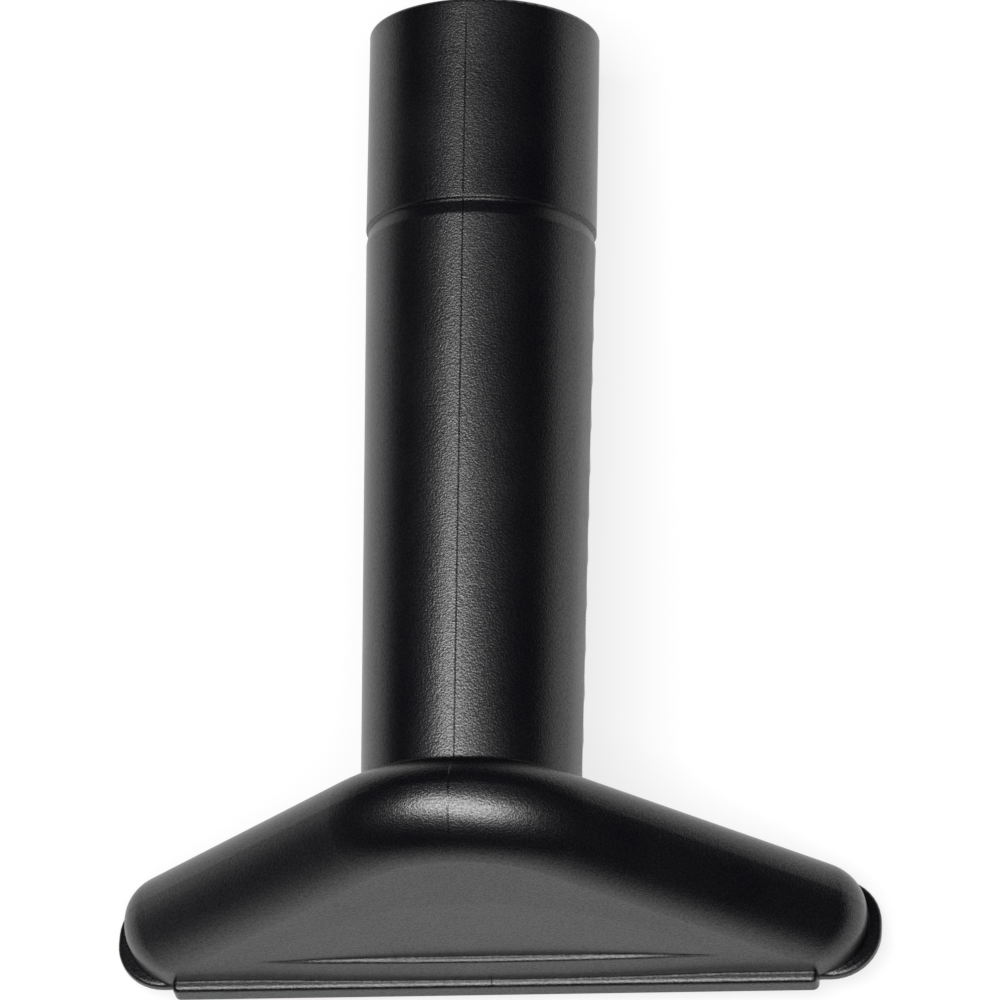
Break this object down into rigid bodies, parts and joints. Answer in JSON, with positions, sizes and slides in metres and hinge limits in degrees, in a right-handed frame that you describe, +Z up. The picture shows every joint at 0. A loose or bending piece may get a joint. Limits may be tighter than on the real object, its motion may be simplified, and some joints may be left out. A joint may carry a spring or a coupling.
{
  "type": "rectangular vacuum nozzle",
  "caption": "One-piece moulded vacuum nozzle with a round socket tube, a flat trapezoid hood and a wide slot mouth with a lip.",
  "frame": {"origin": "middle of the floor under the nozzle, as it lies on the back of its lip and the end of its tube", "axes": "+X across the mouth, +Y from the mouth towards the tube's open end, +Z up from the floor"},
  "size_m": [0.129, 0.1631, 0.0545],
  "materials": {
    "black_plastic": "fine moulded grain"
  },
  "bodies": {
    "root": {"nozzle_body": "black_plastic"}
  },
  "joints": []
}
